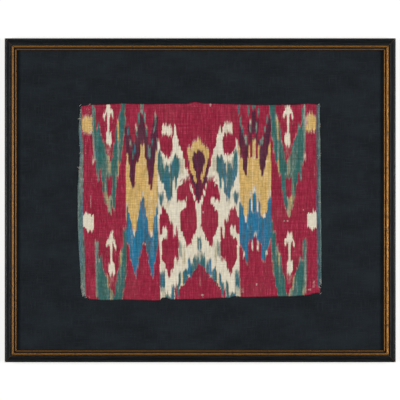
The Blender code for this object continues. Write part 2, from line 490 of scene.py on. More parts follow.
def woven_mount_cloth(settings):
    """Blue-black plain-woven cotton stretched flat: matt, with faint slubs both ways and soft clouds of dust.

    Its threads are drawn about twice as coarse as real ones, so that they show.
    """
    material, add = new_material("woven_mount_cloth")
    place = add("TexCoord", output="Object")
    pitch = settings.thread
    lying = grain(add, place, (SLUB_LENGTH * MM, pitch, 1), detail=2)
    upright = grain(add, place, (pitch, SLUB_LENGTH * MM, 1), detail=2)
    slubs = add("Math", (lying, upright), operation="MAXIMUM")
    mottle = grain(add, place, (26 * MM, 26 * MM, 1), detail=4)
    dust = grain(add, place, (70 * MM, 34 * MM, 1), detail=5)
    cloth = wash(add, settings.cloth, settings.slub, slubs, 0.45, 0.8, 0.6)
    cloth = wash(add, cloth, linear("#101417"), mottle, 0.3, 0.7, 0.4)
    cloth = wash(add, cloth, linear("#273036"), dust, 0.3, 0.75, 0.46)
    parts = add("SeparateXYZ", [place]).node.outputs
    waves = []
    for axis in "XY":
        turns = add("Math", (parts[axis], 2 * math.pi / pitch), operation="MULTIPLY")
        waves.append(add("Math", [turns], operation="SINE"))
    weave = add("Math", waves, operation="MULTIPLY")
    relief = add("Math", (weave, 0.35, slubs), operation="MULTIPLY_ADD")
    return surfaced(material, {
        "Base Color": cloth,
        "Roughness": 0.9,
        "Specular IOR Level": 0.2,
        "Normal": add("Bump", {"Height": relief, "Distance": 0.12 * MM}),
    })


def pressed_pulp_board(settings):
    """Grey board pressed from paper pulp: matt, flecked with short fibres."""
    material, add = new_material("pressed_pulp_board")
    place = add("TexCoord", output="Object")
    fibres = grain(add, place, (3 * MM, 1.2 * MM, 1.2 * MM), detail=6, roughness=0.7)
    clouds = grain(add, place, (45 * MM, 45 * MM, 45 * MM))
    pulp = wash(add, settings.board, linear("#7c766a"), fibres, 0.4, 0.7)
    return surfaced(material, {
        "Base Color": wash(add, pulp, linear("#aaa18e"), clouds, 0.35, 0.7, 0.4),
        "Roughness": 0.88,
        "Normal": add("Bump", {"Height": fibres, "Distance": 0.15 * MM}),
    })


def flat_grid(name, columns, rows):
    """A grid of squares one metre wide at the origin, to be fitted to a sheet of cloth."""
    deselect()
    bpy.ops.mesh.primitive_grid_add(x_subdivisions=columns, y_subdivisions=rows, size=1, location=(0, 0, 0))
    piece = bpy.context.object
    piece.name = piece.data.name = name
    return piece


class FRAMEDIKAT_OT_mount(Operator):
    """Make the mount cloth and finish the board behind it"""

    bl_idname = "framed_ikat.mount"
    bl_label = "Mount cloth and board"

    def execute(self, context):
        settings = context.scene.framed_ikat.mount
        size = MOUNT_HIGH - MOUNT_LOW
        piece = flat_grid("mount_linen", round(size.x / settings.grid), round(size.y / settings.grid))
        co = coordinates(piece.data)
        x, y = co[:, 0] * size.x, co[:, 1] * size.y
        wave = np.sin(x * 38 + 1.1) * np.sin(y * 47 + 0.4) + 0.5 * np.sin(x * 91) * np.sin(y * 83 + 2)
        set_coordinates(piece.data, np.stack([x, y, MOUNT_HIGH.z - MOUNT_INSET + MOUNT_WAVE * wave], axis=1))
        body = piece.modifiers.new("cloth thickness", "SOLIDIFY")
        body.thickness = size.z - 2 * MOUNT_INSET
        body.offset = -1
        bpy.ops.object.modifier_apply(modifier=body.name)
        bpy.ops.object.shade_smooth_by_angle(angle=math.radians(40))
        piece.data.materials.append(woven_mount_cloth(settings))
        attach(piece, BODY)
        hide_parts("mount_cloth")
        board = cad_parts["backing_board"]
        board.data.materials.clear()
        board.data.materials.append(pressed_pulp_board(settings))
        return {"FINISHED"}


# Ikat cloth. Places on it are in millimetres from the middle of the frame. The warp runs up the picture.
# Each edge is a list of places: how far along the edge, and how far out the cloth reaches there.
LEFT_EDGE = [
    (-150, -184.4), (-140, -186.4), (-120, -187.0), (-80, -189.5), (-40, -191.3), (20, -191.5),
    (60, -188.7), (80, -187.8), (115, -190.0), (140, -188.0), (150, -186.0),
]
RIGHT_EDGE = [
    (-150, 187.5), (-139, 187.2), (-136, 189.4), (-80, 189.5),
    (0, 188.5), (90, 187.8), (130, 186.7), (150, 187.0),
]
TOP_EDGE = [
    (-187, 147.5), (-178, 149.3), (-150, 149.8), (-128, 151.5), (-80, 150.3), (-48, 151.3), (-23, 151.0),
    (-9, 154.0), (4, 152.0), (50, 150.4), (100, 149.0), (150, 149.6), (170, 151.3), (187, 149.5),
]
BOTTOM_EDGE = [
    (-184, -150.6), (-177, -154.8), (-155, -156.5), (-125, -155.4), (-68, -157.0), (-65, -156.2),
    (-62.5, -152.6), (-55, -152.2), (-50, -155.2), (-10, -155.0), (30, -153.0), (45, -152.6), (49, -150.8),
    (58, -149.8), (63, -151.6), (80, -151.5), (150, -150.0), (170, -148.5), (177, -146.2), (189, -144.5),
]
CLOTH_WIDTH, CLOTH_HEIGHT = 378, 304
CLOTH_COLUMNS, CLOTH_ROWS = 340, 272
CLOTH_REACH = 210.0

# Heights of its face over its underside, in mm, how far in the hems and selvedges reach, how wide its outer
# edge rolls down, and how far apart its cockles are across and up.
FLAT_HEIGHT = 1.3
HEM_HEIGHT, HEM_DEPTH = 2.1, 9
SELVEDGE_HEIGHT, SELVEDGE_WIDTH = 1.5, 7
EDGE_HEIGHT, EDGE_ROLL = 0.4, 1.3
COCKLE_HEIGHT = 0.125
COCKLE_ACROSS, COCKLE_UP = 95, 70

# What each dyed area is made of. What isn't taken up by these dyes is red.
RECIPES = {
    "red": {},
    "cream": {"cream": 1},
    "yellow": {"yellow": 1},
    "green": {"green": 1},
    "blue": {"blue": 1},
    "plum": {"plum": 1},
    "teal": {"green": 0.62, "blue": 0.34},
    "sea": {"green": 0.5, "blue": 0.2, "cream": 0.26},
    "pale_sea": {"green": 0.4, "blue": 0.14, "cream": 0.42},
    "sage": {"green": 0.76, "cream": 0.16, "blue": 0.04},
    "pale_sage": {"green": 0.66, "cream": 0.28},
    "pale_green": {"green": 0.52, "cream": 0.23, "yellow": 0.23},
    "mist": {"cream": 0.55, "green": 0.28, "yellow": 0.15},
    "straw": {"cream": 0.52, "yellow": 0.34, "green": 0.08},
    "olive": {"yellow": 0.62, "green": 0.28},
    "pale_blue": {"blue": 0.3, "cream": 0.62},
    "pink": {"cream": 0.25},
    "dusk": {"plum": 0.36},
    "blush": {"cream": 0.62},
    "tan": {"yellow": 0.6, "plum": 0.12},
    "pale": {"cream": 0.8, "yellow": 0.12},
    "selvedge": {"green": 0.53, "cream": 0.18, "blue": 0.21, "plum": 0.06},
    "dark_selvedge": {"green": 0.42, "blue": 0.34, "plum": 0.2, "cream": 0.01},
}
DYES = ["plum", "yellow", "green", "blue", "cream"]

# Threads stay pale just past the ends of these dyes, where the tied bundles kept the red out.
PALE_RIMMED = ("green", "teal", "blue", "yellow")
PALE_REACH = 4.0
PALE_SHARE = 0.4

# A form's sides fade over SIDE_BLUR. Sides that slant by more than SLANT step from bundle to bundle.
SIDE_BLUR = 1.5
SLANT = 2.5


class Form:
    """One dyed area: its left and right edges at some heights from the top down, as (height, left, right)."""

    def __init__(self, dye, *rows, tip=7.0):
        self.recipe = RECIPES[dye]
        self.tip = tip
        self.heights = np.array([row[0] for row in reversed(rows)], float)
        self.left = np.array([row[1] for row in reversed(rows)], float)
        self.right = np.array([row[2] for row in reversed(rows)], float)
        self.slanted = max(np.ptp(self.left), np.ptp(self.right)) > SLANT
        self.pale_rim = dye in PALE_RIMMED

    def cover(self, u, v):
        """How fully the form is dyed at each place: u across it and v up it."""
        left = np.interp(v, self.heights, self.left)
        right = np.interp(v, self.heights, self.right)
        across = np.minimum(u - left, right - u) / SIDE_BLUR + 0.5
        along = np.minimum(v - self.heights[0], self.heights[-1] - v) / self.tip
        return smooth(np.minimum(across, along))


def bar(dye, left, right, top, bottom, tip=8.0):
    return Form(dye, (top, left, right), (bottom, left, right), tip=tip)


# The forked figure that comes four times, about its own leaning middle.
FORK = [
    Form("green", (144, -24.6, -19.6), (120, -24.8, -19.4), (96, -24.8, -19)),
    Form("sage", (150, -24, -20.4), (140, -25, -19.6), (122, -24.8, -19.6)),
    bar("sage", -16.6, -13.8, 126, 106),
    bar("green", -16.8, -13.6, 116, 98),
    Form("green", (116, -24.6, -17), (108, -24.6, -13.7), (99, -24.5, -12.4), (96, -24.5, -9.9),
        (90, -24.4, -7.4), (80, -24.1, -6.4), (73, -23.6, -4.4), (66, -22.6, 0), (58, -20.6, 3),
        (50, -19.6, 3), (42, -19.4, -15)),
    Form("pale_sage", (150, -24.9, -22.6), (116, -25.2, -22.2), (96, -25, -21.8), (58, -24.2, -20.6)),
    bar("green", -19.3, -16.2, 58, 32),
    bar("sage", -19.3, -16.2, 44, 25),
    Form("green", (162, 19.6, 27.8), (140, 19.6, 27.4), (125, 19.4, 25.7), (96, 18, 23)),
    Form("sage", (141, 16.6, 20.6), (126, 16.2, 20), (112, 15, 19)),
    Form("green", (126, 14.8, 26), (117, 12.2, 26), (100, 10.8, 23.6), (90, 8.8, 22.6), (80, 7.2, 21),
        (70, 6.2, 19.2), (60, 5, 17.4), (52, 4.8, 15.6), (44, 4.8, 13.8), (38, 4.8, 12)),
    Form("green", (66, -3, 8), (58, -6, 13.6), (50, -13.4, 13.6), (38, -13.4, 12), (30, -12.7, 10.4),
        (20, -11, 10), (13, -10, 9.4), (8, -9, 7.8), (0, -8, 7.4), (-6, -5.8, 7.2), (-12, -4, 6),
        (-16, -3, 3)),
    Form("sage", (90, -6.9, -4.4), (60, -6.7, -3.6), (40, -7.3, -4.8), (22, -8, -5.3)),
    bar("red", -16.2, -13.6, 48, 25),
    Form("red", (88, -3.8, 6), (76, -3.4, 6), (68, -1.4, 5.4), (60, 0.4, 4), (56, 1.4, 3)),
    Form("pale_green", (74, -3.4, -0.8), (66, -3.2, 1), (58, -2.8, 2.8), (46, -3.4, 3.4), (35, -4.6, 4.6)),
    Form("red", (39, -4.6, 4.4), (28, -4.6, 4.4), (18, -4.3, 3.8), (8, -3.6, 3), (0, -2.4, 2)),
    Form("pale_green", (32, -8, -5.6), (18, -8.2, -5.4), (6, -8.6, -4.6), (-3, -7, -4)),
    Form("pale_green", (10, -6.8, -1), (4, -6.2, 2.6), (-4, -5.6, 3.6), (-11, -5, 3.6), (-14, -3, 3),
        (-22, -1.8, 2.2), (-28, -1, 1.6)),
    bar("green", -2.6, -0.6, 46, 36, tip=6),
    bar("olive", -5, -2.6, 9, -12),
    bar("green", 1.2, 3.2, 3, -16),
]

# Yellow lines in the arms: a long one in each upper fork, and two short ones in each lower fork.
UPPER_VEIN = [
    Form("yellow", (129, 14.5, 16.8), (112, 14.2, 16.4), (106, 14, 16.2)),
    Form("olive", (120, 13.9, 16.5), (88, 13.7, 16.2)),
    Form("pale_sage", (98, 13.8, 16), (62, 13.8, 15.8)),
    Form("olive", (68, 13.7, 15.8), (40, 13, 15)),
]
LOWER_VEIN = [
    Form("olive", (130, 14.2, 16.4), (100, 13.9, 16.2)),
    Form("pale_sage", (108, 13.8, 16.1), (74, 13.6, 15.8)),
    Form("olive", (94, -7.2, -5.2), (80, -6.8, -4.8), (66, -6, -3.8)),
]

# The small arrow between the arms of each fork.
ARROW = [
    Form("blush", (155, -2.2, 2.4), (148, -3.4, 3.4), (140, -6.8, 6.4)),
    Form("cream", (151, -2, 2.2), (145, -3.2, 3.2), (140, -5.2, 5), (136, -7.2, 7), (129, -7.6, 7.4)),
    bar("cream", -7.9, -5, 139, 124),
    bar("cream", 5, 7.8, 139, 122),
    bar("pink", -8, -4.8, 127, 115),
    bar("pink", 4.8, 7.9, 125, 116),
    bar("red", -5, -1.9, 136.5, 120, tip=4),
    bar("red", 1.9, 5, 136, 118, tip=4),
    Form("cream", (147, -2.2, 2.4), (126, -1.7, 1.9), (112, -1.3, 1.5), (91, -1.4, 1.8)),
    Form("cream", (108, -2.8, 3.2), (103, -3.8, 4.4), (90, -4, 5.2), (86, -2.6, 4.8), (80, -1, 4.4), tip=6),
    Form("pink", (90, -4.4, 5.4), (80, -3.6, 5), (66, -2, 4)),
]

# Half figures at the two side edges.
EDGE_FORMS = [
    Form("yellow", (134, -181, -174), (128, -184.2, -169.6), (112, -184.4, -169), (108, -181.6, -169),
        (102, -176, -170)),
    Form("blush", (112, -173, -168.8), (100, -173, -169.6)),
    bar("blush", -168.6, -165.4, 71, 52),
    bar("blush", 161.8, 165.2, 76, 56),
    bar("pale_green", -163, -159.4, -136, -154),
    bar("pale_green", 159.6, 163.4, -132, -150),
    Form("cream", (-16, -179.6, -176.4), (-22, -181, -174), (-25, -182.2, -166.4), (-41, -181.6, -165.4),
        (-47, -177, -166), (-52, -171.6, -168.6)),
    Form("yellow", (138, 171, 178), (130, 166.6, 180.6), (124, 164.4, 180.8), (113, 164.4, 180.4),
        (109, 164.6, 173), (104, 165, 170)),
    bar("blush", 164.2, 167.4, 130, 110),
    Form("cream", (-12, 176.4, 179.2), (-20, 173, 181.4), (-24, 166.8, 182), (-40, 166.8, 182),
        (-44, 167.4, 178), (-48, 168, 175)),
]

LEFT_COLUMN = [
    Form("red", (-56, -114.8, -66), (-160, -114.8, -66)),
    Form("plum", (118, -117.4, -111.4), (98, -117, -107.6), (88, -116.6, -103), (76, -116, -99.5),
        (44, -116, -96)),
    Form("plum", (137, -94.3, -88.6), (118, -96.4, -86.4), (102, -99.2, -83), (92, -102, -80.6),
        (80, -104, -79), (44, -104, -76)),
    Form("plum", (133, -71, -66.8), (112, -75.4, -66.8), (96, -78, -66.8), (84, -80, -66.8),
        (44, -81, -66.8)),
    bar("sage", -94, -88.2, 163, 139),
    bar("sea", -94, -88.2, 145, 134, tip=5),
    bar("sage", -98, -94.2, 142, 113),
    bar("sage", -88.6, -85.2, 140, 116),
    bar("mist", -101.5, -98, 120, 103),
    bar("sage", -101.2, -98, 110, 94),
    bar("mist", -85.4, -82.4, 120, 107),
    bar("sage", -85.2, -82, 114, 95),
    bar("pale_sea", -71.4, -68.2, 139, 122),
    bar("sage", -71.4, -68.2, 130, 110),
    bar("sea", -73.5, -70.4, 117, 99),
    bar("teal", -76.6, -73.4, 101, 83),
    bar("sage", -118.4, -115.4, 134, 112),
    bar("teal", -114, -111, 116, 96),
    bar("sea", -110.6, -107.4, 100, 82),
    bar("green", -106.2, -103.2, 84, 62),
    bar("teal", -103.2, -100.2, 91, 68),
    bar("sea", -82, -77, 90, 64),
    bar("pink", -93, -87.4, 95, 87),
    Form("yellow", (75, -115.4, -112.8), (56, -115.8, -111.4), (44, -116, -110)),
    Form("yellow", (91, -92.4, -87.6), (75, -92.8, -87.2), (66, -93.6, -86.4), (60, -97.6, -84),
        (50, -99, -82.4), (40, -101, -81)),
    Form("yellow", (80, -69.4, -66.8), (60, -70.4, -66.6), (44, -71.4, -66.6)),
    Form("yellow", (58, -116, -66.6), (-34, -116, -66.2)),
    Form("plum", (66, -111.4, -99), (55, -111, -100.4), (40, -110.4, -101), (33, -109, -101.2),
        (27, -107.4, -101.8), (21, -106, -103), (14, -105.2, -103.6)),
    Form("plum", (66, -83.4, -71), (50, -82.8, -72), (40, -82, -73), (32, -80.8, -73.6), (26, -79, -74.6),
        (20, -77.8, -75.2), (14, -77.2, -75.8)),
    Form("yellow", (-16, -107.6, -98.4), (-30, -106.8, -99.4), (-40, -105.6, -100), (-54, -104.8, -101)),
    Form("yellow", (-16, -82, -72), (-30, -80.6, -72.8), (-40, -80, -73.4), (-54, -78.6, -73.8)),
    Form("pale", (-44, -105.2, -100.6), (-53, -104.6, -101.4), (-66, -104.2, -102.4)),
    Form("pale", (-43, -79.6, -73.8), (-51, -78, -74.2), (-64, -77, -74.6)),
    Form("pale_blue", (-1, -115.4, -112.8), (-16, -115.4, -112)),
    bar("pale_blue", -91.4, -87.8, 16, 2),
    bar("pale_blue", -68.6, -65.8, -1, -14),
    Form("blue", (-8, -115.2, -112.8), (-20, -115.2, -112), (-26, -115.2, -108.8), (-38, -115.2, -106.8),
        (-50, -115, -105.2), (-70, -115, -104)),
    Form("blue", (7, -91.6, -87.6), (0, -92.6, -87), (-10, -94, -86.2), (-20, -95.4, -84.4),
        (-30, -97.4, -82.2), (-40, -98.8, -80.8), (-50, -100.6, -79.4), (-70, -102, -76)),
    Form("blue", (-8, -68.6, -65.8), (-20, -69, -65.6), (-26, -71, -65.4), (-33, -72.8, -65.4),
        (-70, -74, -65.4)),
    Form("blue", (-54, -102, -77), (-62, -114.4, -65.2), (-68, -113, -65.6)),
    Form("blue", (-54, -114.2, -86), (-68, -112.4, -90), (-76, -110.4, -91.6), (-85, -110, -93.4),
        (-92, -107.8, -95.4), (-100, -106, -97), (-107, -103.6, -98.2), (-113, -102.6, -99.4),
        (-122, -101.6, -100)),
    Form("blue", (-54, -88, -65.4), (-70, -85, -66.8), (-80, -83.6, -67.4), (-90, -80.8, -68.4),
        (-100, -79, -71), (-107, -77.4, -72), (-114, -75.8, -72.6), (-122, -74.8, -73.2)),
    bar("plum", -90.4, -85.4, -62, -70, tip=9),
    bar("green", -117.4, -115.3, -37, -78),
]

RIGHT_COLUMN = [
    Form("plum", (130, 60, 62), (113, 60, 64.4), (100, 60, 68), (88, 60.4, 73), (78, 60.4, 77),
        (44, 60, 78)),
    Form("plum", (143, 80.4, 87), (118, 79.8, 87.6), (100, 76, 90), (88, 74, 92), (44, 74, 92)),
    bar("plum", 74.4, 80, 126, 98),
    bar("plum", 87, 91.8, 128, 98),
    Form("plum", (129, 106, 109), (112, 103, 110), (100, 100, 110), (88, 96, 109.4), (78, 91, 108),
        (44, 90, 108)),
    bar("teal", 59.2, 62, 155, 131),
    bar("sage", 61.6, 64.6, 138, 114),
    bar("teal", 64.6, 67.8, 116, 99),
    Form("sea", (105, 67.2, 70.6), (93, 68.8, 74), (82, 70.4, 73.6)),
    bar("sage", 73.7, 77, 153, 128),
    bar("sage", 80.6, 86.2, 156, 138),
    bar("sage", 89.2, 92.6, 147, 125),
    bar("mist", 77, 79.8, 128, 112),
    bar("sea", 77, 79.8, 118, 100),
    bar("sage", 86.3, 89.2, 125, 100),
    bar("sage", 103, 106.2, 136, 113),
    bar("sea", 99.6, 102.6, 116, 98),
    Form("sea", (103, 96.4, 99), (92, 92.6, 98), (82, 94, 98)),
    bar("red", 80.8, 86.4, 108, 93),
    Form("red", (95, 108, 113), (84, 109, 113), (74, 110, 113)),
    bar("yellow", 59.6, 62.4, 88, 44),
    bar("yellow", 62, 65, 72, 44),
    bar("yellow", 75.3, 78, 88, 44),
    bar("yellow", 81.6, 87, 98, 44),
    bar("yellow", 89.8, 93.6, 87, 44),
    bar("yellow", 106.2, 110, 86, 44),
    bar("yellow", 103, 106.4, 72, 44),
    Form("yellow", (70, 60, 66), (62, 60, 94), (56, 60, 110.4), (-30, 60.4, 110.4)),
    bar("red", 77.9, 80.4, 92, 62),
    bar("red", 86.9, 89.4, 92, 62),
    Form("plum", (84, 65, 74), (60, 66.4, 74), (50, 67.6, 73.8), (42, 69, 73), (34, 69.4, 71.6)),
    Form("plum", (84, 93.4, 103), (60, 93.6, 102.4), (50, 94, 101), (42, 96, 100), (33, 97.2, 99.2)),
    Form("pale_blue", (12, 60.2, 62.4), (-4, 60.2, 64)),
    bar("pale_blue", 76.6, 79.2, 17, 0),
    Form("pale_blue", (25, 82.4, 86.8), (6, 81.8, 87.2)),
    bar("pale_blue", 91, 93.6, 15, -2),
    bar("pale_blue", 107.2, 110.4, 13, -3),
    bar("cream", 79.4, 82, 2, -22),
    bar("cream", 88.2, 91.4, 0, -24),
    Form("pale", (-22, 68, 73), (-28, 69.6, 72.4), (-40, 70.2, 72)),
    Form("pale", (-20, 96.6, 103), (-27, 98.2, 102), (-38, 98.6, 100.6)),
    Form("blue", (3, 60.2, 63.4), (-10, 60.4, 65.8), (-20, 60.4, 67.6), (-27, 60.4, 69.4), (-36, 60.4, 71),
        (-70, 60.4, 72)),
    Form("blue", (4, 76.2, 79.4), (-18, 75.8, 79.4), (-26, 74.6, 80)),
    Form("blue", (14, 82, 87.4), (0, 81.8, 87.8), (-22, 81.6, 88.2)),
    Form("blue", (2, 91.2, 93.6), (-18, 91, 94), (-26, 90.6, 95)),
    Form("blue", (-16, 74.8, 94), (-26, 73.4, 97), (-36, 71.6, 99), (-44, 69, 100), (-70, 66, 100)),
    Form("blue", (3, 107.6, 110.4), (-10, 104.8, 110.4), (-20, 103.6, 110.4), (-28, 101.4, 110.4),
        (-36, 99, 110.4), (-70, 98, 110.4)),
    Form("blue", (-30, 96, 104), (-38, 68, 110.4), (-68, 63, 109.4)),
    bar("tan", 72.8, 75, -15, -28),
    bar("tan", 94, 97, -15, -27),
    Form("blue", (-54, 62.6, 76), (-65, 63.6, 76), (-72, 65.2, 76), (-80, 67.2, 76.2), (-87, 69.4, 75.8),
        (-93, 71, 75.2), (-102, 72, 73.8)),
    Form("blue", (-54, 88, 108.4), (-65, 94.8, 108), (-72, 95, 107), (-80, 95.6, 105.8), (-88, 96.2, 102.4),
        (-94, 97.6, 101.6), (-102, 99.2, 100.8)),
    bar("pale_blue", 83.6, 88.8, -46, -62),
    bar("red", 82.4, 88.2, -54, -100),
    bar("red", 76.6, 80, -60, -100),
    bar("red", 91.8, 95, -62, -100),
    bar("red", 80, 92, -76, -100),
    bar("pale_blue", 80.4, 82.6, -58, -72),
    bar("cream", 80.2, 82.6, -66, -82),
    bar("pale_blue", 88.4, 91.4, -60, -74),
    bar("cream", 88.4, 91.4, -68, -84),
    bar("cream", 102.2, 105.4, -77, -90),
    bar("cream", 67.2, 69.8, -76, -90),
    bar("green", 110.8, 113.5, -30, -75),
]

# The middle figure, as one half: left and right count outwards from its leaning middle.
MIDDLE_HALF = [
    # Horned head and its open inside.
    Form("pink", (127, 46, 52), (118, 41, 54)),
    Form("cream", (122, 46, 50.6), (119, 42, 53), (116, 40, 54.6), (106, 39.8, 54.6), (101, 39.8, 51)),
    bar("cream", 51.4, 55, 112, 97),
    bar("cream", 40, 45.6, 110, 98),
    Form("cream", (118, 33.4, 36.2), (104, 33, 36.8), (94, 33, 37.4)),
    Form("cream", (106, 33, 39.7), (98, 30.6, 39.7), (90, 29.8, 39.9), (82, 27.4, 40), (77, 24.6, 40.4),
        (70, 23, 42), (56, 20, 60)),
    Form("cream", (98, 60.6, 63.3), (88, 60, 63.3), (80, 58, 63.3), (75, 55, 63.4), (70, 52.4, 63.5),
        (60, 46, 63.5)),
    # Body.
    Form("cream", (72, 23, 63.5), (60, 21.6, 63.8), (52, 20.4, 63.8), (46, 16, 63.8), (38, 14.8, 63.8),
        (30, 12.9, 63.8), (20, 10.4, 63.8), (10, 7, 63.8), (0, 3.6, 63.7), (-6, 1.4, 63.6), (-9, 0, 63.6),
        (-60, 0, 63.2), (-110, 0, 62.6), (-140, 0, 62.4)),
    Form("cream", (-118, 39, 62.3), (-170, 39, 62.3)),
    # Blue-green wings, with paler threads about them.
    Form("sea", (82, 58.8, 62.8), (70, 55.4, 63), (58, 53.2, 63), (46, 51, 62.6), (34, 48, 60.6)),
    Form("sea", (73, 31, 36.6), (64, 27.6, 40.6), (52, 26.6, 42.6), (36, 29.6, 44)),
    Form("mist", (70, 22.4, 28.6), (38, 22.6, 29.8)),
    Form("teal", (76, 59.8, 62.6), (67, 56.6, 62.4), (56, 54.6, 62), (44, 52.6, 61.2), (30, 47, 58)),
    Form("teal", (71, 32.4, 36), (64, 29.8, 39.2), (56, 28.8, 41.8), (47, 29, 42.6), (34, 33, 43)),
    Form("teal", (61, 44.4, 47.8), (53, 42, 51.4), (44, 38.6, 61.2), (36, 39.2, 60), (28, 39.6, 56.8),
        (20, 39.6, 53.4), (12, 40, 50.8), (4, 42.4, 49.8), (-4, 45, 48.4)),
    bar("mist", 52.2, 54.2, 66, 44),
    bar("sea", 49.4, 52.2, 60, 42),
    bar("mist", 43.4, 45.6, 62, 40),
    bar("teal", 33.4, 41, 50, 28),
    bar("teal", 33.2, 36.4, 40, 12),
    bar("cream", 36.6, 39.6, 34, 9),
    bar("sea", 42.4, 44.8, 40, 18),
    Form("sea", (16, 53.6, 62.4), (6, 54, 62.4), (-2, 55.6, 61.4), (-12, 57.2, 60)),
    bar("teal", 57, 60.6, 11, -8),
    bar("mist", 44, 51, 2, -13),
    # Red lozenges of the body.
    Form("red", (-8, 53.8, 56.4), (-15, 52, 58), (-22, 48.4, 60), (-28, 46, 62.4), (-44, 45, 62.4),
        (-56, 50, 62.4)),
    bar("red", 48, 51.4, -13, -32),
    bar("red", 58, 60.4, -20, -36),
    Form("red", (-30, 41, 44), (-37, 40.2, 50), (-70, 40, 50)),
    Form("cream", (-38, 50.6, 55), (-45, 49, 57), (-58, 49.6, 57.2), (-64, 52, 56.4)),
    bar("cream", 57.4, 62.8, -50, -63),
    bar("red", 33.2, 36.4, -40, -66),
    Form("red", (-54, 33.4, 50), (-64, 33.2, 59.2), (-88, 33.4, 59.2), (-94, 36, 58), (-99, 40, 55),
        (-105, 41.8, 52.4), (-111, 44.8, 50.4), (-121, 47.6, 49.4)),
    bar("cream", 36.6, 40, -40, -57),
    bar("red", 33.6, 35.9, -88, -101),
    bar("cream", 36, 40, -88, -106),
    # Big lozenges beside the stem.
    Form("pink", (38, 15, 23), (26, 13, 32)),
    Form("red", (33, 15.2, 23), (26, 13.4, 24.4), (21, 12.4, 32.4), (10, 11, 33.2), (4, 9, 33.2),
        (-4, 7, 33)),
    bar("cream", 24.6, 26, 34, 22),
    Form("red", (14, 11, 18.6), (6, 8.4, 18.6), (-6, 5, 18.8), (-13, 4, 24), (-18, 3.7, 29),
        (-24, 3.6, 29.8), (-42, 3.8, 29.6), (-48, 6, 27.6), (-54, 8, 25), (-60, 9.4, 22.4),
        (-66, 13.4, 20.4), (-78, 18.4, 19.8)),
    bar("cream", 18.8, 24.6, 5, -10),
    Form("cream", (-2, 24, 33.4), (-8, 24, 33.4), (-14, 28, 33.4)),
    # Foot: dyed threads that part the legs.
    bar("pale_sea", 27.2, 32.4, -60, -93),
    bar("mist", 22, 27, -64, -102),
    Form("teal", (-58, 0, 2.6), (-69, 0, 3.4), (-86, 0, 3)),
    Form("pale_sea", (-80, 0, 6.8), (-90, 0, 9.4), (-106, 0, 9.4)),
    Form("teal", (-88, 3.4, 9.2), (-98, 0, 9.2), (-114, 0, 9.2)),
    bar("pale_sea", 9, 14.4, -92, -112),
    bar("teal", 9.2, 14.6, -98, -125),
    bar("pale_sea", 14.4, 18.4, -88, -104),
    bar("blue", 14.4, 18.2, -92, -124),
    Form("teal", (-104, 21.6, 24.2), (-113, 18.6, 26.4), (-134, 18.6, 26.4)),
    bar("straw", 26.4, 29.2, -110, -137),
    bar("teal", 30, 33.4, -108, -137),
    Form("red", (-104, 0, 1), (-110, 0, 7.4), (-116, 0, 10.6), (-121, 0, 14.8), (-126, 0, 20.2),
        (-131, 0, 25), (-135, 0, 31.6), (-170, 0, 37.2)),
    Form("dusk", (-100, 0, 1), (-108, 0, 7), (-114, 0, 10.6), (-119, 0, 14.6), (-128, 0, 12)),
    bar("teal", 33, 37, -126, -154),
    bar("blush", 36.8, 39.4, -128, -146),
    bar("red", 36.8, 39.6, -137, -170),
    Form("teal", (-125, 40.4, 42.8), (-136, 39.6, 44.8), (-170, 39.6, 46.4)),
    Form("sea", (-106, 56, 60), (-112, 54.4, 62), (-124, 54.4, 62.2)),
    Form("teal", (-113, 55, 62.2), (-140, 54.4, 62.2)),
    Form("pale_sea", (-132, 54.4, 62), (-148, 54.4, 62)),
    Form("mist", (-138, 54.4, 62.4), (-165, 54.4, 62.4)),
    Form("teal", (-141, 50.4, 53.4), (-147, 46.6, 55), (-170, 46.6, 55)),
    bar("cream", 45, 49.2, -130, -151),
]

# The drop in the fork of the middle figure, from its own middle.
DROP = [
    Form("yellow", (97, -2.4, 1), (92, -4.6, 2.4), (88, -8.4, 5), (84, -9.6, 8.6), (81, -11, 11.8),
        (78, -17, 15), (73, -17, 18), (69, -16.6, 17.6), (64, -15.4, 16), (55, -13.6, 15.2),
        (50, -13, 13.4), (45, -11.6, 11.4), (40, -9.8, 10.2), (35, -8, 9.2), (24, -5.6, 8)),
    Form("plum", (79, -5, 6), (72, -7.8, 8.6), (64, -9.2, 10), (58, -9, 10), (52, -7.6, 9), (46, -5.2, 7.4),
        (40, -3.6, 5), (33, -2.6, 4), (22, -2.6, 4)),
    Form("plum", (60, -14.8, -13.2), (48, -14.4, -12.2), (40, -13, -9.8), (30, -10.4, -6.2), (20, -8, -3)),
    Form("plum", (66, 15.2, 18), (54, 14.8, 17.8), (46, 11.6, 15.4), (38, 9.8, 14.4), (30, 8, 13.6),
        (20, 4, 11)),
    Form("plum", (31, -8.6, 10), (22, -6.4, 8.4), (12, -4.4, 6), (4, -2.8, 4), (-8, -0.8, 1)),
]

SIDE_STRIPS = [
    Form("selvedge", (175, -200, -184.4), (120, -200, -184.6), (100, -200, -184), (70, -200, -183),
        (50, -200, -182.8), (-30, -200, -182.4), (-60, -200, -181), (-100, -200, -180.2),
        (-120, -200, -179.6), (-170, -200, -177)),
    Form("selvedge", (175, 182.4, 200), (110, 181.6, 200), (-40, 182.6, 200), (-60, 184, 200),
        (-138, 184, 200)),
    Form("dark_selvedge", (175, 180.9, 185.8), (110, 180.3, 185.4), (-40, 181.5, 185.8),
        (-60, 182.5, 186.6), (-136, 182.9, 187)),
]

